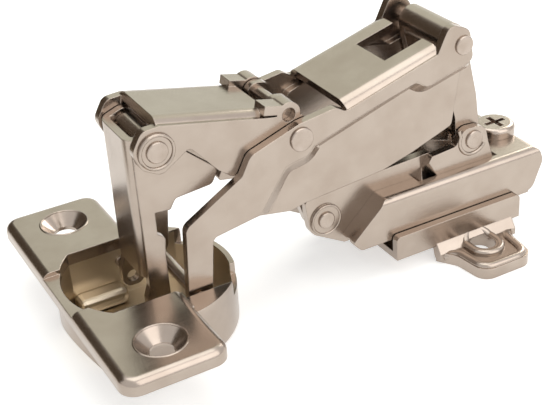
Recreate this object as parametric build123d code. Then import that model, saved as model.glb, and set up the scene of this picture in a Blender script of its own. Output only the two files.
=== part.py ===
from build123d import *
import os

# Wide-angle concealed hinge, nickel-plated pressed steel, shown a quarter turn open.
# Millimetres. x runs from the cup centre towards the arm, y across the hinge,
# z up out of the cup. z = 0 is the door face that the cup's flange lies on.

# Pivot places, seen from the side as (x, z)
finger_pivot = (6.5, -1.0)
foot_pivot = (-0.6, -2.2)
link_pivot = (1.7, 31.0)
cross_pivot = (29.9, 25.8)
lever_pivot = (67.1, 35.2)
front_pivot = (36.7, 4.1)
rear_pivot = (72.0, 12.2)
spring_pivot = (28.6, 30.4)

# Sheet thicknesses
lever_sheet = 1.8
link_sheet = 1.6
cup_sheet = 1.3
plate_sheet = 1.6

# Half widths: the outer face of each side wall, from the middle plane
outer_half = 11.0
play = 0.2
plate_face_step = 1.8
inner_half = outer_half - lever_sheet - play
link_half = inner_half - lever_sheet - play
bracket_half = 7.0
rocker_half = bracket_half - lever_sheet - play
ear_half = bracket_half + lever_sheet
arm_link_half = bracket_half - play
channel_half = 11.6
base_half = channel_half + play + plate_sheet

# Cup and flange
cup_radius = 17.5
cup_depth = 11.0
cup_wall = 1.1
cup_floor = 1.0
cup_flat = 11.8
flange_left = -18.2
flange_right = 2.3
flange_half = 32.6
flange_height = 3.1
flange_corner = 3.4
flange_edge = 1.7
hole_offset = -7.5
hole_pitch = 48.0
hole_radius = 2.3
sink_radius = 4.7
bridge_half = 7.6
bridge_drop = 1.0
lip_height = 0.9
lip_trim = 0.8
lip_dip = 3.3
lip_tongue = 5.0
collar_taper = 8.0
slant_top = (-17.5, -5.8)
slant_foot = (-13.6, -11.0)
slant_wall = 1.3

# Pins and rivets
cup_pin_radius = 1.25
link_pin_radius = 1.8
cross_pin_radius = 1.6
lever_pin_radius = 1.6
front_pin_radius = 1.4
rear_pin_radius = 1.5
spring_pin_radius = 1.4
pin_clearance = 0.05
head_height = 0.5
cross_head = 2.4
lever_head = 2.0
link_head = 2.1
front_head = 1.8
rear_head = 2.05
open_pivot_play = 0.55

# Mounting plate
plate_bottom = -11.0
wing_top = -8.6
wing_half = 25.0
slot_x = 69.3
slot_spacing = 32.0
slot_radius = 2.4
slot_length = 1.6
collar_rise = 0.7
base_front = 49.6
base_rear = 81.2
base_wall_top = -1.8
base_low = -7.2
wing_root = 9.8

# Arm channel
channel_top = 6.7
channel_front = 48.5
channel_toe = 40.2
channel_rear = 88.6
channel_low = -3.0
screw_x = 84.5
screw_radius = 2.8
screw_head_radius = 4.4
side_screw_x = 57.0
side_screw_radius = 2.4


def near(pivot, dx, dz, radius=0.0):
    """A corner placed from a pivot, with its rounding radius."""
    return (pivot[0] + dx, pivot[1] + dz, radius)


def outline(*corners):
    """A closed outline in the side view; each corner is (x, z, rounding radius)."""
    points = [(x, z) for x, z, radius in corners]
    radii = [radius for x, z, radius in corners]
    if not any(radii):
        return make_face(Polyline(*points, close=True))
    return make_face(FilletPolyline(*points, radius=radii, close=True))


def side_walls(face, half, thickness):
    """The same side outline as two walls whose outer faces lie at plus and minus half."""
    wall = extrude(Plane.XZ.offset(half - thickness) * face, amount=thickness)
    return wall + mirror(wall, about=Plane.XZ)


def folded_web(start, end, half, thickness, bend, legs):
    """A channel section run from start to end: web outside, two legs, rounded folds."""
    run = Vector(end[0] - start[0], 0, end[1] - start[1])
    plane = Plane(origin=(start[0], 0, start[1]), x_dir=(0, 1, 0), z_dir=run)
    outer = Pos(0, -legs / 2) * Rectangle(2 * half, legs)
    outer = fillet(outer.vertices().group_by(Axis.Y)[-1], bend)
    inner_half_width = half - thickness
    inner = Pos(0, -thickness - legs / 2) * Rectangle(2 * inner_half_width, legs)
    inner_bend = max(bend - thickness, 0.2)
    inner = fillet(inner.vertices().group_by(Axis.Y)[-1], inner_bend)
    return extrude(plane * (outer - inner), amount=run.length)


def cross_pin(pivot, radius, half_length):
    """A round bar across the hinge, centred on the middle plane."""
    place = Plane(origin=(pivot[0], -half_length, pivot[1]), x_dir=(1, 0, 0), z_dir=(0, 1, 0))
    return extrude(place * Circle(radius), amount=2 * half_length)


def pin_hole(pivot, radius, half_length=60.0):
    """What a hole across the whole hinge takes away."""
    return cross_pin(pivot, radius, half_length)


def rivet(pivot, radius, grip_half, head_radius):
    """A rivet: shank through both walls and a low domed head on each side."""
    body = cross_pin(pivot, radius, grip_half)
    head = Pos(pivot[0], -grip_half - head_height / 2, pivot[1]) * Rot(90, 0, 0) * Cylinder(
        head_radius, head_height)
    rim = head.edges().group_by(Axis.Y)[0]
    head = fillet(rim, head_height * 0.6)
    return body + head + mirror(head, about=Plane.XZ)


def ring(pivot, outer_radius, inner_radius, half, thickness):
    """A round boss on each side whose outer face lies at plus and minus half."""
    place = Plane(origin=(pivot[0], -half, pivot[1]), x_dir=(1, 0, 0), z_dir=(0, 1, 0))
    disc = extrude(place * (Circle(outer_radius) - Circle(inner_radius)), amount=thickness)
    return disc + mirror(disc, about=Plane.XZ)


def left_of_slant(shift):
    """What lies behind the cup's sloping back wall, moved inward by shift."""
    reach = 2 * cup_radius
    face = outline(
        (slant_top[0] + shift, slant_top[1], 0.0),
        (slant_foot[0] + shift, slant_foot[1], 0.0),
        (slant_foot[0] + shift, slant_foot[1] - 4.0, 0.0),
        (-reach, slant_foot[1] - 4.0, 0.0),
        (-reach, slant_top[1], 0.0))
    return extrude(Plane.XZ.offset(-reach) * face, amount=2 * reach)


def make_cup():
    """Round cup and its screw flange, pressed from one sheet."""
    width = flange_right - flange_left
    middle = (flange_right + flange_left) / 2
    plan = Pos(middle, 0) * RectangleRounded(width, 2 * flange_half, flange_corner)
    shell = extrude(plan, amount=flange_height)
    shell = fillet(shell.edges().group_by(Axis.Z)[-1], flange_edge)
    plan_inside = offset(plan, amount=-cup_sheet)
    shell -= extrude(plan_inside, amount=flange_height - cup_sheet)
    body = Pos(0, 0, -cup_depth) * extrude(Circle(cup_radius), amount=cup_depth)
    body = fillet(body.edges().group_by(Axis.Z)[0], 1.6)
    body -= left_of_slant(0.0)
    collar = extrude(Circle(cup_radius), amount=flange_height - cup_sheet / 2, taper=collar_taper)
    collar &= Pos(middle, 0, flange_height / 2) * Box(width, 60, flange_height)
    lip = extrude(Circle(cup_radius), amount=lip_height, taper=collar_taper)
    blank = shell + body + collar + lip
    cavity_radius = cup_radius - cup_wall
    cavity_plan = Circle(cavity_radius) & Rectangle(60, 2 * cup_flat)
    cavity = Pos(0, 0, cup_floor - cup_depth) * extrude(cavity_plan, amount=cup_depth + 10)
    blank -= cavity - left_of_slant(slant_wall)
    for side in (-1, 1):
        y = side * hole_pitch / 2
        boss = extrude(Pos(hole_offset, y) * Circle(sink_radius + cup_sheet), amount=flange_height - 0.4)
        blank += boss
        sink = Pos(hole_offset, y, flange_height) * Rot(180, 0, 0) * extrude(
            Circle(sink_radius), amount=sink_radius - hole_radius, taper=45)
        blank -= sink
        blank -= Pos(hole_offset, y, -1) * extrude(Circle(hole_radius), amount=flange_height + 2)
    bridge_depth = 20.0
    bridge = Pos(flange_left, 0, flange_height) * Box(2 * bridge_depth, 2 * bridge_half, 2 * bridge_drop)
    blank -= bridge
    blank -= Pos(cup_radius, 0, lip_height) * Box(14, 2 * cup_flat, 2 * lip_trim)
    for side in (-1, 1):
        notch_middle = side * (cup_flat + lip_tongue) / 2
        blank -= Pos(cup_radius, notch_middle, lip_height) * Box(14, cup_flat - lip_tongue, 2 * lip_dip)
    for pivot in (finger_pivot, foot_pivot):
        blank -= pin_hole(pivot, cup_pin_radius, cup_flat + 2.2)
    return blank


def make_outer_lever():
    """Outer lever: finger into the cup, crossing pivot, bridge plate over the arm."""
    web_start = near(lever_pivot, -27.3, -4.9)
    web_end = near(lever_pivot, -5.7, 0.9)
    wall = outline(
        near(cross_pivot, -0.3, 3.2, 3.0),
        near(cross_pivot, -10.8, -0.3, 2.5),
        near(cross_pivot, -12.8, -4.0, 1.5),
        near(finger_pivot, -1.6, 15.7, 2.0),
        near(finger_pivot, -2.6, -1.5, 1.6),
        near(finger_pivot, 0.6, -2.9, 2.0),
        near(finger_pivot, 2.5, 0.6, 1.5),
        near(finger_pivot, 3.6, 12.0, 1.4),
        near(cross_pivot, -9.6, -13.2, 1.6),
        near(cross_pivot, -3.6, -4.7, 1.8),
        near(cross_pivot, 1.3, -3.8, 0.8),
        near(cross_pivot, 2.7, -2.2, 0.8),
        near(lever_pivot, -11.3, -4.6, 0.8),
        near(lever_pivot, -8.7, -6.6, 1.0),
        near(lever_pivot, 2.4, -3.7, 1.6),
        near(lever_pivot, 1.3, 3.1, 2.4),
        near(lever_pivot, -3.4, 5.0, 2.0),
        near(lever_pivot, -6.2, -0.5, 0.5),
        near(lever_pivot, -27.3, -6.5, 1.5),
        near(lever_pivot, -29.5, -5.1, 2.0))
    lever = side_walls(wall, outer_half, lever_sheet)
    lever += folded_web(web_start[:2], web_end[:2], outer_half, lever_sheet, 3.0, 4.2)
    joggle = outline(
        near(cross_pivot, -11.6, -14.0, 0.4),
        near(cross_pivot, -9.4, -12.0, 0.4),
        near(cross_pivot, -3.6, -4.4, 0.4),
        near(cross_pivot, 3.4, -1.6, 0.4),
        near(cross_pivot, 4.4, -3.2, 0.4),
        near(cross_pivot, 2.4, -5.2, 0.4),
        near(cross_pivot, -2.6, -6.6, 0.4),
        near(cross_pivot, -7.0, -13.6, 0.4))
    lever += side_walls(joggle, outer_half - 0.8, 1.0)
    panel = outline(
        near(cross_pivot, -9.4, -14.3, 0.5),
        near(cross_pivot, -2.2, -15.6, 1.5),
        near(cross_pivot, 1.2, -14.9, 1.5),
        near(lever_pivot, -18.0, -22.8, 2.0),
        near(lever_pivot, -11.2, -21.0, 3.0),
        near(lever_pivot, -1.4, -17.6, 1.2),
        near(lever_pivot, 1.0, -3.2, 0.8),
        near(lever_pivot, -5.0, -4.8, 0.8),
        near(lever_pivot, -12.0, -3.4, 0.8),
        near(cross_pivot, 8.0, 0.4, 0.8),
        near(cross_pivot, 4.6, -3.6, 1.5),
        near(cross_pivot, 1.0, -5.6, 1.5),
        near(cross_pivot, -5.9, -7.6, 0.5))
    lever += side_walls(panel, outer_half - plate_face_step + 0.1, lever_sheet)
    notch = Pos(lever_pivot[0] - 7.0, 0, lever_pivot[1]) * Box(15.2, 10.3, 12)
    lever -= notch
    lever -= pin_hole(finger_pivot, cup_pin_radius + pin_clearance)
    lever -= pin_hole(cross_pivot, cross_pin_radius + pin_clearance)
    lever -= pin_hole(lever_pivot, lever_pin_radius)
    return lever


def make_inner_lever():
    """Inner lever: folded head over the cup link, crossing pivot and two rolled eyes."""
    web_start = near(link_pivot, 1.0, 5.6)
    web_end = near(spring_pivot, -3.4, 1.4)
    wall = outline(
        near(link_pivot, 1.2, 4.6, 1.5),
        near(link_pivot, -2.4, 4.4, 2.0),
        near(link_pivot, -4.6, 0.6, 2.5),
        near(link_pivot, -3.0, -3.0, 2.0),
        near(link_pivot, 0.6, -5.0, 2.0),
        near(link_pivot, 6.4, -1.2, 1.0),
        near(cross_pivot, -16.5, -2.3, 3.0),
        near(cross_pivot, -13.8, -4.5, 2.0),
        near(cross_pivot, -5.0, -4.0, 3.0),
        near(cross_pivot, 1.6, -4.2, 2.5),
        near(cross_pivot, 4.2, -0.6, 2.5),
        near(cross_pivot, 1.8, 4.0, 2.5),
        near(spring_pivot, -4.4, 0.6, 1.0))
    lever = side_walls(wall, inner_half, lever_sheet)
    lever += folded_web(web_start[:2], web_end[:2], inner_half, lever_sheet, 3.2, 5.0)
    for side in (-1, 1):
        eye_half_width = (inner_half - rocker_half - play) / 2
        y = side * (inner_half - eye_half_width)
        eye = Pos(spring_pivot[0], y, spring_pivot[1]) * Rot(90, 0, 0) * Cylinder(2.5, 2 * eye_half_width)
        tongue = Pos(spring_pivot[0] - 2.4, y, spring_pivot[1] + 1.5) * Rot(0, 13, 0) * Box(
            5.4, 2 * eye_half_width, lever_sheet)
        lever += eye + tongue
    lever += ring(link_pivot, 3.4, link_pin_radius, inner_half + 0.35, 0.5)
    lever -= pin_hole(link_pivot, link_pin_radius)
    lever -= pin_hole(cross_pivot, cross_pin_radius)
    lever -= pin_hole(spring_pivot, spring_pin_radius)
    return lever


def make_rocker():
    """Inner rocker: carries the crossing from the arm's front pivot."""
    wall = outline(
        near(front_pivot, -3.0, -1.4, 2.4),
        near(front_pivot, 1.6, -3.1, 2.4),
        near(front_pivot, 3.4, 1.2, 2.4),
        near(cross_pivot, 3.4, 0.6, 2.0),
        near(spring_pivot, 2.4, 1.6, 2.2),
        near(spring_pivot, -1.6, 2.4, 2.2),
        near(spring_pivot, -2.6, -1.0, 2.0),
        near(cross_pivot, -3.4, -1.4, 2.0))
    rocker = side_walls(wall, rocker_half, lever_sheet)
    stay = near(cross_pivot, 3.2, -9.2)
    rocker += Pos(stay[0], 0, stay[1]) * Rot(0, -17, 0) * Box(lever_sheet, 2 * rocker_half, 9.0)
    rocker -= pin_hole(front_pivot, front_pin_radius + pin_clearance)
    rocker -= pin_hole(cross_pivot, cross_pin_radius)
    rocker -= pin_hole(spring_pivot, spring_pin_radius)
    return rocker


def make_cup_link():
    """Cup link: a channel that goes down into the cup, its web towards the door."""
    web_x = link_pivot[0] - 4.5
    web_foot = (web_x, foot_pivot[1] + 6.2)
    web_head = (web_x, link_pivot[1] + 1.9)
    wall = outline(
        near(link_pivot, -3.6, 1.6, 0.8),
        near(link_pivot, 1.4, 3.4, 2.8),
        near(link_pivot, 4.4, -1.0, 2.5),
        near(link_pivot, 12.5, -8.2, 1.4),
        near(link_pivot, 11.0, -11.0, 1.2),
        near(link_pivot, 3.4, -11.6, 1.2),
        near(link_pivot, 2.2, -13.6, 0.6),
        near(link_pivot, -1.6, -13.2, 1.0),
        near(link_pivot, -1.6, -17.4, 1.0),
        near(link_pivot, 0.6, -19.0, 1.0),
        near(link_pivot, 0.2, -22.6, 1.5),
        near(foot_pivot, 2.6, 1.6, 2.0),
        near(foot_pivot, 2.2, -2.2, 1.8),
        near(foot_pivot, -2.2, -2.2, 1.8),
        near(foot_pivot, -2.2, 2.2, 0.8),
        near(web_foot, 0.8, -1.6, 1.5),
        near(web_foot, 0.8, 1.0))
    link = side_walls(wall, link_half, link_sheet)
    link += folded_web(web_foot[:2], web_head[:2], link_half, link_sheet, 3.0, 3.6)
    link -= pin_hole(link_pivot, link_pin_radius + pin_clearance)
    link -= pin_hole(foot_pivot, cup_pin_radius + pin_clearance)
    return link


def make_arm_link():
    """Arm link: ties the outer lever's tail to the arm's rear ears."""
    wall = outline(
        near(rear_pivot, -3.0, -1.6, 2.4),
        near(rear_pivot, 0.6, -3.0, 2.4),
        near(rear_pivot, 3.0, -0.6, 2.4),
        near(rear_pivot, 1.8, 9.0, 3.0),
        near(lever_pivot, 3.2, 1.0, 2.4),
        near(lever_pivot, 0.4, 3.2, 2.2),
        near(lever_pivot, -3.2, 1.4, 2.2),
        near(lever_pivot, -2.8, -2.4, 2.0),
        near(rear_pivot, -3.4, 5.0, 3.0))
    link = side_walls(wall, arm_link_half, link_sheet)
    web_low = near(rear_pivot, 2.6, 4.0)
    web_high = near(lever_pivot, 3.4, -1.0)
    link += folded_web(web_high[:2], web_low[:2], arm_link_half, link_sheet, 2.0, 2.6)
    link += cross_pin(lever_pivot, 3.1, arm_link_half)
    link -= pin_hole(rear_pivot, rear_pin_radius + pin_clearance)
    link -= pin_hole(lever_pivot, lever_pin_radius + open_pivot_play)
    return link


def make_front_bracket():
    """Front bracket: a channel standing in the arm that holds the front pivot."""
    wall = outline(
        near(front_pivot, -4.6, 5.4, 1.0),
        near(front_pivot, -3.5, -2.4, 3.0),
        near(front_pivot, 4.3, -6.9, 1.0),
        (side_screw_x + 20.0, front_pivot[1] - 6.9, 1.0),
        (side_screw_x + 20.0, front_pivot[1] + 0.4, 1.0),
        near(rear_pivot, -6.5, -4.0, 1.5),
        near(rear_pivot, -9.5, -0.8, 1.5),
        near(front_pivot, 3.4, 6.4, 1.5))
    bracket = side_walls(wall, bracket_half, lever_sheet)
    floor_z = front_pivot[1] - 6.9 + lever_sheet / 2
    floor_start = front_pivot[0] + 8.0
    floor_length = side_screw_x + 20.0 - floor_start
    bracket += Pos(floor_start + floor_length / 2, 0, floor_z) * Box(
        floor_length, 2 * bracket_half, lever_sheet)
    bracket += ring(front_pivot, 3.4, front_pin_radius, bracket_half + 0.35, 0.5)
    bracket -= pin_hole(front_pivot, front_pin_radius)
    bracket -= Pos(side_screw_x, 0, floor_z) * Cylinder(side_screw_radius + pin_clearance, 4)
    return bracket


def make_rear_bracket():
    """Rear bracket: outer ears of the arm that hold the arm link's pivot."""
    wall = outline(
        near(rear_pivot, -13.8, -6.4, 0.6),
        near(rear_pivot, -10.6, -0.9, 0.8),
        near(rear_pivot, -4.6, -0.4, 1.0),
        near(rear_pivot, -2.6, 3.0, 2.6),
        near(rear_pivot, 2.8, 2.6, 2.6),
        near(rear_pivot, 3.8, -1.6, 1.2),
        near(rear_pivot, 5.4, -6.4, 1.0),
        near(rear_pivot, 5.4, -17.5, 1.0),
        near(rear_pivot, -18.0, -17.5, 1.0))
    bracket = side_walls(wall, ear_half, lever_sheet)
    jog = near(rear_pivot, -12.2, -3.6)
    for side in (-1, 1):
        bracket -= Pos(jog[0], side * ear_half, jog[1]) * Rot(0, -30, 0) * Rot(0, 0, side * 45) * Box(
            2.2, 2.2, 16.0)
    floor_top = front_pivot[1] - 6.9
    bracket += Pos(rear_pivot[0] - 6.3, 0, floor_top - lever_sheet / 2) * Box(
        23.0, 2 * ear_half, lever_sheet)
    side_cut = floor_top - lever_sheet
    bracket -= Pos(rear_pivot[0], 0, side_cut - 5) * Box(60, 60, 10)
    bracket -= pin_hole(rear_pivot, rear_pin_radius)
    bracket -= Pos(side_screw_x, 0, floor_top) * Cylinder(side_screw_radius + pin_clearance, 8)
    return bracket


def make_channel():
    """Arm channel: inverted U with a slanted front and a clamp slot at the back."""
    wall = outline(
        (channel_front, channel_top, 0.8),
        (channel_toe, channel_low + 2.1, 0.8),
        (channel_toe + 2.0, channel_low, 1.5),
        (channel_rear - 2.6, channel_low, 2.5),
        (channel_rear, channel_top - 3.2, 2.0),
        (channel_rear - 1.1, channel_top, 1.6))
    section = folded_web((channel_toe, channel_top), (channel_rear, channel_top),
                         channel_half, lever_sheet, 1.6, channel_top - channel_low)
    solid_side = extrude(Plane.XZ.offset(-channel_half) * wall, amount=2 * channel_half)
    channel = section & solid_side
    window_rear = rear_pivot[0] + 6.2
    window_middle = rear_pivot[0] - 13.9
    window_front = channel_toe - 5
    channel -= Pos((window_middle + window_rear) / 2, 0, channel_top) * Box(
        window_rear - window_middle, 2 * ear_half, 4 * lever_sheet)
    channel -= Pos((window_front + window_middle) / 2, 0, channel_top) * Box(
        window_middle - window_front, 2 * bracket_half, 4 * lever_sheet)
    lip = outline(
        (channel_front, channel_top, 0.6),
        (channel_toe, channel_low + 2.1, 0.6),
        (channel_toe + 1.9, channel_low + 1.1, 0.3),
        (channel_front + 2.2, channel_top - 0.6, 0.3))
    channel += side_walls(lip, channel_half - 0.5, channel_half - 0.5 - bracket_half)
    notch = Pos(screw_x, 0, channel_top) * (
        Cylinder(screw_radius + 0.4, 8) + Pos(5, 0, 0) * Box(10, 2 * screw_radius + 0.8, 8))
    return channel - notch


def make_plate():
    """Mounting plate: pressed wings with screw slots and two low side walls."""
    floor = Pos((base_front + base_rear) / 2, 0, base_low + plate_sheet / 2) * Box(
        base_rear - base_front, 2 * base_half, plate_sheet)
    wall = outline(
        (base_front, base_low, 0.6),
        (base_rear, base_low, 0.6),
        (base_rear, base_wall_top, 1.0),
        (base_front, base_wall_top, 1.0))
    plate = floor + side_walls(wall, base_half, plate_sheet)
    for side in (-1, 1):
        plate += make_wing(side)
    tongue_length = screw_x + 5.0 - base_rear
    plate += Pos(base_rear + tongue_length / 2, 0, base_low + plate_sheet / 2) * Box(
        tongue_length, 13.0, plate_sheet)
    return plate


def make_wing(side):
    """One wing: flared at its root, rim turned down, raised collar round its slot."""
    root = base_half - 0.2
    reach = wing_half
    root_width = wing_root
    tip_width = 6.2
    plan = make_face(FilletPolyline(
        (slot_x - root_width, root), (slot_x + root_width, root),
        (slot_x + tip_width + 1.0, root + 4.0), (slot_x + tip_width, reach), (slot_x - tip_width, reach),
        (slot_x - tip_width - 1.0, root + 4.0), radius=[0.0, 0.0, 2.5, 3.0, 3.0, 2.5], close=True))
    top = Pos(0, 0, plate_bottom) * extrude(plan, amount=wing_top - plate_bottom)
    hollow_plan = offset(plan, amount=-plate_sheet)
    top -= Pos(0, 0, plate_bottom) * extrude(hollow_plan, amount=wing_top - plate_bottom - plate_sheet)
    slot_plan = Pos(slot_x, slot_spacing / 2) * Rot(0, 0, 90) * SlotOverall(
        slot_length + 2 * slot_radius, 2 * slot_radius)
    collar = Pos(0, 0, plate_bottom) * extrude(
        offset(slot_plan, amount=1.5), amount=wing_top - plate_bottom + collar_rise)
    cut_height = wing_top - plate_bottom + collar_rise + 1.1
    flare = make_face(Polyline(
        (channel_half + play, base_low + plate_sheet), (base_half, base_low + plate_sheet),
        (base_half, base_low + 0.6), (base_half + 1.5, wing_top - 0.1), (base_half + 1.5, wing_top - plate_sheet),
        (base_half - 0.6, wing_top - plate_sheet), (channel_half + play, base_low), close=True))
    riser = extrude(Plane.YZ.offset(slot_x - root_width) * flare, amount=2 * root_width)
    wing = top + collar + riser - Pos(0, 0, plate_bottom - 1) * extrude(slot_plan, amount=cut_height)
    if side < 0:
        wing = mirror(wing, about=Plane.XZ)
    return wing


def make_clamp_screw():
    """Clamp screw that holds the arm down on the plate."""
    shank_bottom = base_low + plate_sheet
    shank = Pos(screw_x, 0, shank_bottom) * extrude(Circle(screw_radius), amount=channel_top - shank_bottom)
    head = Pos(screw_x, 0, channel_top) * extrude(Circle(screw_head_radius), amount=2.4)
    head = fillet(head.edges().group_by(Axis.Z)[-1], 1.0)
    head -= Pos(screw_x, 0, channel_top + 2.4) * (Box(5.0, 1.1, 2.4) + Box(1.1, 5.0, 2.4))
    return shank + head


def make_clamp_nut():
    """Threaded block under the arm that the clamp screw turns in."""
    bottom = base_low + plate_sheet
    block = Pos(screw_x, 0, bottom) * extrude(RectangleRounded(9.0, 13.0, 1.5), amount=6.0)
    return block - Pos(screw_x, 0, bottom) * extrude(Circle(screw_radius), amount=6.0)


def make_side_screw():
    """Set screw that shifts the arm sideways over the plate."""
    bottom = base_low + plate_sheet + 0.2
    top = front_pivot[1] - 1.0
    screw = Pos(side_screw_x, 0, bottom) * extrude(Circle(side_screw_radius), amount=top - bottom)
    screw = chamfer(screw.edges().group_by(Axis.Z)[-1], 0.4)
    return screw - Pos(side_screw_x, 0, top) * (Box(3.6, 0.9, 2.4) + Box(0.9, 3.6, 2.4))


def make_cup_pin(pivot):
    """One of the pins across the cup."""
    return cross_pin(pivot, cup_pin_radius, cup_flat + 2.1)


def make_foot_pins():
    """Stub pins either side of the cup link's foot."""
    whole = cross_pin(foot_pivot, cup_pin_radius, cup_flat + 2.1)
    middle = cross_pin(foot_pivot, cup_pin_radius + 1, outer_half + play)
    return whole - middle


def make_barrel(pivot, outer_radius, inner_radius, half_length):
    """A spacer tube between two walls."""
    return cross_pin(pivot, outer_radius, half_length) - pin_hole(pivot, inner_radius)


def build_nodes():
    """Every separate piece of the hinge by its name."""
    nodes = {
        "hinge_cup": make_cup(),
        "finger_pin": make_cup_pin(finger_pivot),
        "foot_pins": make_foot_pins(),
        "outer_lever": make_outer_lever(),
        "inner_lever": make_inner_lever(),
        "rocker_lever": make_rocker(),
        "cup_link": make_cup_link(),
        "arm_link": make_arm_link(),
        "front_bracket": make_front_bracket(),
        "rear_bracket": make_rear_bracket(),
        "arm_channel": make_channel(),
        "mounting_plate": make_plate(),
        "clamp_screw": make_clamp_screw(),
        "clamp_nut": make_clamp_nut(),
        "side_screw": make_side_screw(),
        "link_rivet": rivet(link_pivot, link_pin_radius, inner_half + 0.35, link_head),
        "cross_rivet": rivet(cross_pivot, cross_pin_radius, outer_half + pin_clearance, cross_head),
        "lever_rivet": rivet(lever_pivot, lever_pin_radius, outer_half, lever_head),
        "front_rivet": rivet(front_pivot, front_pin_radius, bracket_half + 0.35, front_head),
        "rear_rivet": rivet(rear_pivot, rear_pin_radius, ear_half, rear_head),
        "spring_pin": cross_pin(spring_pivot, spring_pin_radius, inner_half - 1.6),
        "cross_barrel": make_barrel(cross_pivot, 3.0, cross_pin_radius, rocker_half - lever_sheet),
        "link_barrel": make_barrel(link_pivot, 2.5, link_pin_radius, link_half - link_sheet - 1.4),
    }
    return nodes


os.makedirs("parts", exist_ok=True)
for name, shape in build_nodes().items():
    shape.label = name
    export_step(shape, os.path.join("parts", name + ".step"))
    print(name, round(shape.volume, 1))
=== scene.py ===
import bpy
import bmesh
import math
from mathutils import Matrix, Vector


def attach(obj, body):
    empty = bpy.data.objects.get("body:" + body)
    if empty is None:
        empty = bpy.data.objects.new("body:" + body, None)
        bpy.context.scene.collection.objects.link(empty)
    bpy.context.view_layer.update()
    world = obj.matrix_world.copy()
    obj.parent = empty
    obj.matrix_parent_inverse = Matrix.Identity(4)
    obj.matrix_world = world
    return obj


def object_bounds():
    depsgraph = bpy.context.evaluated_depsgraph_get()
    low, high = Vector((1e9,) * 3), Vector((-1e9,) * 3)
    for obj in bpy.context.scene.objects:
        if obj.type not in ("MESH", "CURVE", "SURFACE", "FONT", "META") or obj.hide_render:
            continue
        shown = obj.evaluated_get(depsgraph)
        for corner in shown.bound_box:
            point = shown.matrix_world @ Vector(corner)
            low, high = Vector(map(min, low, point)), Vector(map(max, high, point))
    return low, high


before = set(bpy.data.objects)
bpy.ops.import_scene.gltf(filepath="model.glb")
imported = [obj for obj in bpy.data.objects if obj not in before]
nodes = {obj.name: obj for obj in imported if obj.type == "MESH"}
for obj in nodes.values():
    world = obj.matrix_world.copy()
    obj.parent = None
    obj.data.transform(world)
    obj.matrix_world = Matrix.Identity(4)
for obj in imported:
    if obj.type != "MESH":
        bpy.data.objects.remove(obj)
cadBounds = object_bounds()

mm = 0.001
scene = bpy.context.scene


# Camera: where the picture was taken from, found from the cup and its screw holes
camera = {"azimuth": -27.35, "elevation": 30.15, "roll": -3.79, "lens": 78.0, "sensor": 36.0,
          "place": (-65.5, -182.0, 126.3)}


def makeCamera(given):
    a, e, r = (math.radians(given[k]) for k in ("azimuth", "elevation", "roll"))
    back = Vector((math.sin(a) * math.cos(e), -math.cos(a) * math.cos(e), math.sin(e)))
    right = Vector((math.cos(a), math.sin(a), 0))
    up = back.cross(right)
    turnedRight = right * math.cos(r) + up * math.sin(r)
    turnedUp = up * math.cos(r) - right * math.sin(r)
    data = bpy.data.cameras.new("hingeCamera")
    data.lens = given["lens"]
    data.sensor_width = given["sensor"]
    data.sensor_fit = "HORIZONTAL"
    data.clip_start = 0.01
    data.clip_end = 20.0
    cam = bpy.data.objects.new("hingeCamera", data)
    scene.collection.objects.link(cam)
    turn = Matrix((turnedRight, turnedUp, back)).transposed()
    cam.matrix_world = Matrix.Translation(Vector(given["place"]) * mm) @ turn.to_4x4()
    scene.camera = cam


makeCamera(camera)
scene.view_settings.view_transform = "Standard"
print("camera placed")


# Studio: pale ground, soft lamps, a white surround that metal reflects too
studio = {"floorColor": (0.90, 0.90, 0.89), "floorGlow": 0.52, "surround": 0.42,
          "surroundColor": (1.0, 0.99, 0.97), "gap": 0.05, "span": 4.0}
lampTarget = (0.032, 0, 0.012)
lamps = [
    {"name": "keyLamp", "place": (0.20, -0.46, 0.40), "size": 0.60, "power": 1.6,
     "color": (1.0, 0.985, 0.96)},
    {"name": "skyLamp", "place": (0.02, 0.05, 0.62), "size": 0.50, "power": 1.25,
     "color": (0.97, 1.0, 0.97)},
    {"name": "rimLamp", "place": (0.48, 0.22, 0.26), "size": 0.24, "power": 1.0,
     "color": (1.0, 0.97, 0.92)},
]


def pathMask(tree):
    path = tree.nodes.new("ShaderNodeLightPath")
    first = tree.nodes.new("ShaderNodeMath")
    first.operation = "ADD"
    tree.links.new(path.outputs["Is Camera Ray"], first.inputs[0])
    tree.links.new(path.outputs["Is Glossy Ray"], first.inputs[1])
    second = tree.nodes.new("ShaderNodeMath")
    second.operation = "ADD"
    second.use_clamp = True
    tree.links.new(first.outputs[0], second.inputs[0])
    tree.links.new(path.outputs["Is Transmission Ray"], second.inputs[1])
    return second.outputs[0]


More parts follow.
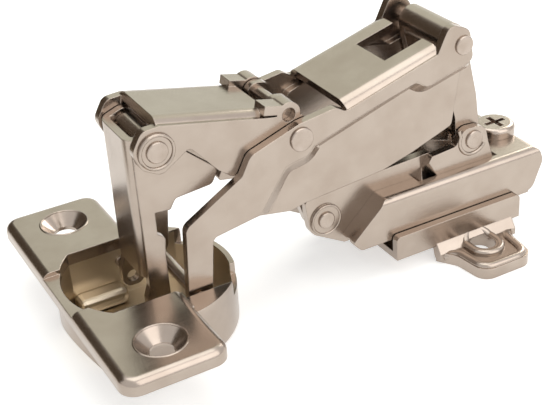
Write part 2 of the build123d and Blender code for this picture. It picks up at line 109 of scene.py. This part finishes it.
def makeStudio(given):
    world = bpy.data.worlds.new("whiteRoom")
    scene.world = world
    world.use_nodes = True
    tree = world.node_tree
    tree.nodes.clear()
    room = tree.nodes.new("ShaderNodeBackground")
    room.inputs["Color"].default_value = (*given["surroundColor"], 1)
    room.inputs["Strength"].default_value = given["surround"]
    seen = tree.nodes.new("ShaderNodeBackground")
    seen.inputs["Color"].default_value = (1, 1, 1, 1)
    seen.inputs["Strength"].default_value = 1.0
    mix = tree.nodes.new("ShaderNodeMixShader")
    out = tree.nodes.new("ShaderNodeOutputWorld")
    tree.links.new(pathMask(tree), mix.inputs[0])
    tree.links.new(room.outputs[0], mix.inputs[1])
    tree.links.new(seen.outputs[0], mix.inputs[2])
    tree.links.new(mix.outputs[0], out.inputs["Surface"])

    sheet = bpy.data.meshes.new("paleGround")
    low = cadBounds[0][2] - given["gap"] * mm
    span = given["span"]
    corners = [(x * span, y * span, low) for x, y in ((-1, -1), (1, -1), (1, 1), (-1, 1))]
    sheet.from_pydata(corners, [], [(0, 1, 2, 3)])
    ground = bpy.data.objects.new("paleGround", sheet)
    scene.collection.objects.link(ground)
    paper = bpy.data.materials.new("palePaper")
    paper.use_nodes = True
    tree = paper.node_tree
    tree.nodes.clear()
    matte = tree.nodes.new("ShaderNodeBsdfDiffuse")
    matte.inputs["Color"].default_value = (*given["floorColor"], 1)
    glow = tree.nodes.new("ShaderNodeEmission")
    glow.inputs["Color"].default_value = (1, 1, 1, 1)
    level = tree.nodes.new("ShaderNodeMath")
    level.operation = "MULTIPLY"
    level.inputs[1].default_value = given["floorGlow"]
    tree.links.new(pathMask(tree), level.inputs[0])
    tree.links.new(level.outputs[0], glow.inputs["Strength"])
    add = tree.nodes.new("ShaderNodeAddShader")
    out = tree.nodes.new("ShaderNodeOutputMaterial")
    tree.links.new(matte.outputs[0], add.inputs[0])
    tree.links.new(glow.outputs[0], add.inputs[1])
    tree.links.new(add.outputs[0], out.inputs["Surface"])
    sheet.materials.append(paper)


def makeLamps(given):
    target = Vector(lampTarget)
    for lamp in given:
        data = bpy.data.lights.new(lamp["name"], "AREA")
        data.shape = "SQUARE"
        data.size = lamp["size"]
        data.energy = lamp["power"]
        data.color = lamp["color"]
        piece = bpy.data.objects.new(lamp["name"], data)
        scene.collection.objects.link(piece)
        piece.location = lamp["place"]
        piece.rotation_euler = (Vector(lamp["place"]) - target).to_track_quat("Z", "Y").to_euler()


# Cards that only the metal's reflections see, as a studio's flags and bounce boards
cards = [
    {"name": "brownFlag", "middle": (-0.22, 0.34, 0.20), "facing": (0.50, -0.84, -0.10),
     "size": (0.62, 0.50), "color": (0.115, 0.088, 0.062)},
    {"name": "brownGround", "middle": (-0.21, 0.19, -0.0104), "facing": (0, 0, 1),
     "size": (0.29, 0.34), "color": (0.30, 0.25, 0.18)},
    {"name": "skyBoard", "middle": (0.30, 0.44, 0.36), "facing": (-0.45, -0.75, -0.50),
     "size": (0.60, 0.60), "color": (1.0, 1.05, 0.93)},
]


def makeCards(given):
    for card in given:
        facing = Vector(card["facing"]).normalized()
        turn = facing.to_track_quat("Z", "Y").to_matrix()
        half = (card["size"][0] / 2, card["size"][1] / 2)
        corners = [turn @ Vector((x * half[0], y * half[1], 0)) + Vector(card["middle"])
                   for x, y in ((-1, -1), (1, -1), (1, 1), (-1, 1))]
        sheet = bpy.data.meshes.new(card["name"])
        sheet.from_pydata(corners, [], [(0, 1, 2, 3)])
        board = bpy.data.objects.new(card["name"], sheet)
        scene.collection.objects.link(board)
        tint = bpy.data.materials.new(card["name"])
        tint.use_nodes = True
        tree = tint.node_tree
        tree.nodes.clear()
        glow = tree.nodes.new("ShaderNodeEmission")
        glow.inputs["Color"].default_value = (*card["color"], 1)
        glow.inputs["Strength"].default_value = 1.0
        out = tree.nodes.new("ShaderNodeOutputMaterial")
        tree.links.new(glow.outputs[0], out.inputs["Surface"])
        sheet.materials.append(tint)
        board.visible_camera = False
        board.visible_diffuse = False
        board.visible_shadow = False
        board.visible_transmission = False


makeStudio(studio)
makeLamps(lamps)
makeCards(cards)
print("studio ready")


# Metals: pressed nickel-plated sheet, turned pins, and painted light in the drawn cup: its hollow takes a
# lighter brown tone and rougher metal
nickelSheet = {"base": (0.428, 0.362, 0.311), "deep": (0.383, 0.317, 0.268), "rough": (0.22, 0.26),
               "cloud": 150.0, "grain": 2600.0, "brush": (60.0, 900.0, 900.0), "bump": 0.10}
turnedPin = {"base": (0.46, 0.39, 0.34), "deep": (0.38, 0.312, 0.262), "rough": (0.22, 0.28),
             "cloud": 260.0, "grain": 3800.0, "brush": (900.0, 60.0, 900.0), "bump": 0.06}
finish = {"toneStops": (0.30, 0.62), "brushScale": 3.0, "brushSpan": (0.3, 0.7),
          "edgeRound": 0.25, "grainDepth": 0.05}
# Painted light: inside this radius and below this top, the cup's colour is swapped for a lighter brown tone;
# the rougher finish there is the metal's own
cupHollowPaintedLight = {"radius": 16.46, "top": 0.6, "tone": (0.62, 0.53, 0.41), "rough": 0.32}


# Masks the cup's hollow and mixes in the painted-light tone and the rougher finish there
def paintedHollowLightMask(tree, coord, given, color, rough):
    link = tree.links.new
    flat = tree.nodes.new("ShaderNodeMapping")
    flat.inputs["Scale"].default_value = (1, 1, 0)
    link(coord.outputs["Object"], flat.inputs["Vector"])
    reach = tree.nodes.new("ShaderNodeVectorMath")
    reach.operation = "LENGTH"
    link(flat.outputs[0], reach.inputs[0])
    split = tree.nodes.new("ShaderNodeSeparateXYZ")
    link(coord.outputs["Object"], split.inputs[0])
    tests = []
    for source, limit in ((reach.outputs["Value"], given["radius"]), (split.outputs["Z"], given["top"])):
        below = tree.nodes.new("ShaderNodeMath")
        below.operation = "LESS_THAN"
        below.inputs[1].default_value = limit * mm
        link(source, below.inputs[0])
        tests.append(below.outputs[0])
    both = tree.nodes.new("ShaderNodeMath")
    both.operation = "MULTIPLY"
    link(tests[0], both.inputs[0])
    link(tests[1], both.inputs[1])
    mixed = []
    for kind, outside, inside in (("RGBA", color, (*given["tone"], 1)), ("FLOAT", rough, given["rough"])):
        mix = tree.nodes.new("ShaderNodeMix")
        mix.data_type = kind
        first, second, result = (6, 7, 2) if kind == "RGBA" else (2, 3, 0)
        mix.inputs[second].default_value = inside
        link(both.outputs[0], mix.inputs[0])
        link(outside, mix.inputs[first])
        mixed.append(mix.outputs[result])
    return mixed


def makeMetal(name, given, hollowLight=None):
    material = bpy.data.materials.new(name)
    material.use_nodes = True
    tree = material.node_tree
    tree.nodes.clear()
    link = tree.links.new
    coord = tree.nodes.new("ShaderNodeTexCoord")
    cloud = tree.nodes.new("ShaderNodeTexNoise")
    cloud.inputs["Scale"].default_value = given["cloud"]
    cloud.inputs["Detail"].default_value = 4.0
    link(coord.outputs["Object"], cloud.inputs["Vector"])
    stretch = tree.nodes.new("ShaderNodeMapping")
    stretch.inputs["Scale"].default_value = given["brush"]
    link(coord.outputs["Object"], stretch.inputs["Vector"])
    brush = tree.nodes.new("ShaderNodeTexNoise")
    brush.inputs["Scale"].default_value = finish["brushScale"]
    brush.inputs["Detail"].default_value = 3.0
    link(stretch.outputs[0], brush.inputs["Vector"])
    grain = tree.nodes.new("ShaderNodeTexNoise")
    grain.inputs["Scale"].default_value = given["grain"]
    grain.inputs["Detail"].default_value = 2.0
    link(coord.outputs["Object"], grain.inputs["Vector"])
    tone = tree.nodes.new("ShaderNodeValToRGB")
    tone.color_ramp.elements[0].position = finish["toneStops"][0]
    tone.color_ramp.elements[0].color = (*given["deep"], 1)
    tone.color_ramp.elements[1].position = finish["toneStops"][1]
    tone.color_ramp.elements[1].color = (*given["base"], 1)
    link(cloud.outputs["Fac"], tone.inputs["Fac"])
    polish = tree.nodes.new("ShaderNodeMapRange")
    polish.inputs["To Min"].default_value = given["rough"][0]
    polish.inputs["To Max"].default_value = given["rough"][1]
    polish.inputs["From Min"].default_value = finish["brushSpan"][0]
    polish.inputs["From Max"].default_value = finish["brushSpan"][1]
    link(brush.outputs["Fac"], polish.inputs["Value"])
    edge = tree.nodes.new("ShaderNodeBevel")
    edge.samples = 4
    edge.inputs["Radius"].default_value = finish["edgeRound"] * mm
    bump = tree.nodes.new("ShaderNodeBump")
    bump.inputs["Strength"].default_value = given["bump"]
    bump.inputs["Distance"].default_value = finish["grainDepth"] * mm
    link(grain.outputs["Fac"], bump.inputs["Height"])
    link(edge.outputs["Normal"], bump.inputs["Normal"])
    shader = tree.nodes.new("ShaderNodeBsdfPrincipled")
    shader.inputs["Metallic"].default_value = 1.0
    color, rough = tone.outputs["Color"], polish.outputs["Result"]
    if hollowLight:
        color, rough = paintedHollowLightMask(tree, coord, hollowLight, color, rough)
    link(color, shader.inputs["Base Color"])
    link(rough, shader.inputs["Roughness"])
    link(bump.outputs["Normal"], shader.inputs["Normal"])
    out = tree.nodes.new("ShaderNodeOutputMaterial")
    link(shader.outputs["BSDF"], out.inputs["Surface"])
    return material


sheetMetal = makeMetal("nickelSheet", nickelSheet)
# The cup's material carries the painted light in its hollow
cupMetalPaintedLight = makeMetal("cupSheetPaintedLight", nickelSheet, cupHollowPaintedLight)
pinMetal = makeMetal("turnedPin", turnedPin)
sheetNodes = ["hinge_cup", "outer_lever", "inner_lever", "rocker_lever", "cup_link", "arm_link",
              "front_bracket", "rear_bracket", "arm_channel", "mounting_plate"]


def paintNodes():
    for name, piece in nodes.items():
        metal = cupMetalPaintedLight if name == "hinge_cup" else sheetMetal if name in sheetNodes else pinMetal
        piece.data.materials.clear()
        piece.data.materials.append(metal)
        for face in piece.data.polygons:
            face.material_index = 0


paintNodes()
print("metals on", len(nodes), "CAD pieces")


# Places taken from the CAD, in millimetres: (x, z) in the side view
pivots = {"link": (1.7, 31.0), "front": (36.7, 4.1), "rear": (72.0, 12.2)}


def addPiece(name, mesh, body, metal, smooth=False):
    piece = bpy.data.objects.new(name, mesh)
    scene.collection.objects.link(piece)
    if metal is not None:
        mesh.materials.clear()
        mesh.materials.append(metal)
    for face in mesh.polygons:
        face.use_smooth = smooth
    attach(piece, body)
    return piece


def roundCorners(points, radius, steps=5):
    out = [Vector(points[0])]
    for i in range(1, len(points) - 1):
        before, here, after = (Vector(points[k]) for k in (i - 1, i, i + 1))
        toBefore, toAfter = before - here, after - here
        reach = min(radius, toBefore.length * 0.45, toAfter.length * 0.45)
        start = here + toBefore.normalized() * reach
        end = here + toAfter.normalized() * reach
        for k in range(steps + 1):
            t = k / steps
            out.append(start * (1 - t) ** 2 + here * 2 * t * (1 - t) + end * t ** 2)
    out.append(Vector(points[-1]))
    return out


def bothSides(path):
    return [path, [Vector((p[0], -p[1], p[2])) for p in path]]


# Node tree: a rounded ridge that follows drawn paths
def ridgeTree(metal):
    tree = bpy.data.node_groups.new("ridgeAlongPath", "GeometryNodeTree")
    face = tree.interface
    face.new_socket(name="Geometry", in_out="INPUT", socket_type="NodeSocketGeometry")
    radius = face.new_socket(name="Ridge radius", in_out="INPUT", socket_type="NodeSocketFloat")
    sides = face.new_socket(name="Ridge sides", in_out="INPUT", socket_type="NodeSocketInt")
    face.new_socket(name="Geometry", in_out="OUTPUT", socket_type="NodeSocketGeometry")
    start = tree.nodes.new("NodeGroupInput")
    toCurve = tree.nodes.new("GeometryNodeMeshToCurve")
    ring = tree.nodes.new("GeometryNodeCurvePrimitiveCircle")
    sweep = tree.nodes.new("GeometryNodeCurveToMesh")
    sweep.inputs["Fill Caps"].default_value = True
    real = tree.nodes.new("GeometryNodeRealizeInstances")
    paint = tree.nodes.new("GeometryNodeSetMaterial")
    paint.inputs["Material"].default_value = metal
    end = tree.nodes.new("NodeGroupOutput")
    link = tree.links.new
    link(start.outputs["Geometry"], toCurve.inputs["Mesh"])
    link(start.outputs["Ridge radius"], ring.inputs["Radius"])
    link(start.outputs["Ridge sides"], ring.inputs["Resolution"])
    link(toCurve.outputs["Curve"], sweep.inputs["Curve"])
    link(ring.outputs["Curve"], sweep.inputs["Profile Curve"])
    link(sweep.outputs["Mesh"], real.inputs["Geometry"])
    link(real.outputs["Geometry"], paint.inputs["Geometry"])
    link(paint.outputs["Geometry"], end.inputs["Geometry"])
    return tree, {"radius": radius.identifier, "sides": sides.identifier}


def bakeNodes(piece):
    graph = bpy.context.evaluated_depsgraph_get()
    mesh = bpy.data.meshes.new_from_object(piece.evaluated_get(graph), depsgraph=graph)
    piece.modifiers.clear()
    bpy.data.objects.remove(piece)
    return mesh


def ridgePiece(name, paths, radius, body, metal, closed=False, sides=10):
    verts, edges = [], []
    for path in paths:
        first = len(verts)
        verts += [Vector(p) * mm for p in path]
        edges += [(first + i, first + i + 1) for i in range(len(path) - 1)]
        if closed:
            edges.append((first + len(path) - 1, first))
    wire = bpy.data.meshes.new(name + "Path")
    wire.from_pydata(verts, edges, [])
    holder = bpy.data.objects.new(name + "Path", wire)
    scene.collection.objects.link(holder)
    tree, sockets = ridgeTree(metal)
    nodesModifier = holder.modifiers.new("ridge", "NODES")
    nodesModifier.node_group = tree
    nodesModifier[sockets["radius"]] = radius * mm
    nodesModifier[sockets["sides"]] = sides
    return addPiece(name, bakeNodes(holder), body, None, smooth=True)


def circlePath(x, y, z, radius, axis="y", steps=40, start=0.0, sweep=360.0):
    count = steps if sweep >= 360 else steps + 1
    path = []
    for k in range(count):
        a = math.radians(start + sweep * k / steps)
        if axis == "y":
            path.append(Vector((x + radius * math.cos(a), y, z + radius * math.sin(a))))
        else:
            path.append(Vector((x + radius * math.cos(a), y + radius * math.sin(a), z)))
    return path


# Rolled beads round the rivets and the screw sinks
beads = {"linkRadius": 3.25, "linkThick": 0.34, "linkSide": 9.35,
         "frontRadius": 3.2, "frontThick": 0.26, "frontSide": 7.35,
         "sinkRadius": 4.85, "sinkThick": 0.26, "sinkPlace": (-7.5, 24.0, 3.0),
         "hookRadius": 3.35, "hookThick": 0.42, "hookSide": 8.75, "hookShift": (-0.3, 0.2),
         "hookStart": 158, "hookSweep": 172, "hookTail": (-0.5, 1.6)}


def makeBeads(given):
    x, z = pivots["link"]
    ridgePiece("linkRivetBeads",
               [circlePath(x, s * given["linkSide"], z, given["linkRadius"]) for s in (-1, 1)],
               given["linkThick"], "crossing", sheetMetal, closed=True)
    x, z = pivots["front"]
    ridgePiece("frontRivetBeads",
               [circlePath(x, s * given["frontSide"], z, given["frontRadius"]) for s in (-1, 1)],
               given["frontThick"], "arm", sheetMetal, closed=True)
    x, y, z = given["sinkPlace"]
    ridgePiece("screwSinkRims", [circlePath(x, s * y, z, given["sinkRadius"], axis="z") for s in (-1, 1)],
               given["sinkThick"], "cup", sheetMetal, closed=True)
    x, z = (pivots["rear"][k] + given["hookShift"][k] for k in (0, 1))
    hooks = []
    for s in (-1, 1):
        y = s * given["hookSide"]
        arc = circlePath(x, y, z, given["hookRadius"], steps=30, start=given["hookStart"],
                         sweep=given["hookSweep"])
        tail = given["hookTail"]
        arc.insert(0, Vector((arc[0][0] + tail[0], y, arc[0][2] + tail[1])))
        hooks.append(arc)
    ridgePiece("rearEarHooks", hooks, given["hookThick"], "arm", sheetMetal)


makeBeads(beads)
print("beads round the rivets and screw holes")


# Wings: raised rim and raised ring round each slot
wing = {"middle": 69.3, "top": -8.75, "rim": 0.95, "ring": 0.85, "sink": 0.95, "climb": 0.8,
        "outline": ((8.4, -14.3), (6.1, -16.2), (5.3, -23.9)), "corner": 2.6,
        "slotMiddle": -16.3, "ringRadius": 3.25, "ringStretch": 0.8, "ringLift": 0.35, "climbFrom": -14.4}


def makeWingRidges(given):
    x, z = given["middle"], given["top"]
    heights = (z - given["sink"], z, z)
    left = [(x - dx, y, height) for (dx, y), height in zip(given["outline"], heights)]
    right = [(x + dx, y, height) for (dx, y), height in zip(given["outline"], heights)]
    rim = roundCorners(left + right[::-1], given["corner"])
    ridgePiece("wingRims", bothSides(rim), given["rim"], "arm", sheetMetal, sides=14)
    loop = []
    radius, stretch = given["ringRadius"], given["ringStretch"]
    for k in range(48):
        a = 2 * math.pi * k / 48
        y = given["slotMiddle"] + radius * math.sin(a) + (stretch if math.sin(a) > 0 else -stretch)
        rise = max(0.0, y - given["climbFrom"]) * given["climb"]
        loop.append(Vector((x + radius * math.cos(a), y, z + given["ringLift"] + rise)))
    ridgePiece("slotRings", bothSides(loop), given["ring"], "arm", sheetMetal,
               closed=True, sides=14)


makeWingRidges(wing)
print("wing rims and slot rings")


# Joggled edge where the outer lever's side steps in to its thinner panel
joggle = {"outer": 10.98, "inner": 9.26, "frontWidth": 2.7, "rearWidth": 2.0, "round": 1.6, "over": -0.4,
          "frontFlat": 0.2, "rearFlat": 0.15, "stepBack": 0.7, "stepIn": 0.75}
joggleFront = [(20.6, 13.2), (26.3, 21.1), (31.2, 22.0), (32.6, 23.6)]
joggleRear = [(32.6, 23.6), (55.8, 30.6), (58.4, 28.6), (68.6, 31.2)]


def sideBand(path, sections):
    # path in (x, z); sections as (distance below the path, y)
    pts = [Vector((p[0], p[1])) for p in roundCorners([(x, z, 0) for x, z in path], joggle["round"])]
    clean = [pts[0]]
    for p in pts[1:]:
        if (p - clean[-1]).length > 0.02:
            clean.append(p)
    pts = clean
    bm = bmesh.new()
    for side in (-1, 1):
        rows = []
        for i, p in enumerate(pts):
            ahead = pts[min(i + 1, len(pts) - 1)] - pts[max(i - 1, 0)]
            down = Vector((ahead.y, -ahead.x)).normalized()
            rows.append([bm.verts.new(Vector((p.x + down.x * d, side * y, p.y + down.y * d)) * mm)
                         for d, y in sections])
        count = len(sections)
        for a, b in zip(rows, rows[1:]):
            for k in range(count):
                bm.faces.new((a[k], a[(k + 1) % count], b[(k + 1) % count], b[k]))
        bm.faces.new(rows[0])
        bm.faces.new(list(reversed(rows[-1])))
    bmesh.ops.recalc_face_normals(bm, faces=bm.faces)
    mesh = bpy.data.meshes.new("sideBand")
    bm.to_mesh(mesh)
    bm.free()
    return mesh


def makeJoggles(given):
    o, i = given["outer"], given["inner"]
    over, width = given["over"], given["frontWidth"]
    step = (width - given["stepBack"], o - given["stepIn"])
    front = [(over, o), (given["frontFlat"], o), step, (width, i), (over, i)]
    rear = [(over, o), (given["rearFlat"], o), (given["rearWidth"], i), (over, i)]
    addPiece("joggleFront", sideBand(joggleFront, front), "bridge", sheetMetal)
    addPiece("joggleRear", sideBand(joggleRear, rear), "bridge", sheetMetal)


makeJoggles(joggle)
print("joggled edges on the outer lever")


# Bevelled ledges pressed up inside the cup, either side of its link
blocks = [
    {"name": "cupLedges", "low": (-11.5, 7.5, -9.98), "high": (-1.0, 12.4, -6.4), "edge": 1.3, "body": "cup"},
]


def makeBlocks(given):
    for block in given:
        bm = bmesh.new()
        low, high = block["low"], block["high"]
        for side in (-1, 1):
            corners = [bm.verts.new(Vector((x, side * y, z)) * mm)
                       for x in (low[0], high[0]) for y in (low[1], high[1]) for z in (low[2], high[2])]
            for quad in ((0, 1, 3, 2), (4, 6, 7, 5), (0, 4, 5, 1), (2, 3, 7, 6), (0, 2, 6, 4), (1, 5, 7, 3)):
                bm.faces.new([corners[k] for k in quad])
        bmesh.ops.recalc_face_normals(bm, faces=bm.faces)
        bmesh.ops.bevel(bm, geom=bm.edges[:], offset=block["edge"] * mm, segments=3, profile=0.5,
                        affect="EDGES")
        mesh = bpy.data.meshes.new(block["name"])
        bm.to_mesh(mesh)
        bm.free()
        addPiece(block["name"], mesh, block["body"], cupMetalPaintedLight)


makeBlocks(blocks)
print("ledges inside the cup")


# Screw threads: a fine ridge wound up each shank
threads = [
    {"name": "clampThread", "x": 84.5, "low": -5.4, "high": 4.6, "radius": 2.72, "pitch": 1.0, "thick": 0.2},
    {"name": "sideThread", "x": 57.0, "low": -5.2, "high": 2.4, "radius": 2.32, "pitch": 0.8, "thick": 0.16},
]
stepsPerTurn = 28


def makeThreads(given):
    for thread in given:
        turns = (thread["high"] - thread["low"]) / thread["pitch"]
        steps = int(turns * stepsPerTurn)
        path = []
        for k in range(steps + 1):
            a = 2 * math.pi * turns * k / steps
            path.append(Vector((thread["x"] + thread["radius"] * math.cos(a), thread["radius"] * math.sin(a),
                                thread["low"] + thread["pitch"] * turns * k / steps)))
        ridgePiece(thread["name"], [path], thread["thick"], "arm", pinMetal, sides=6)


makeThreads(threads)
print("threads on the screws")
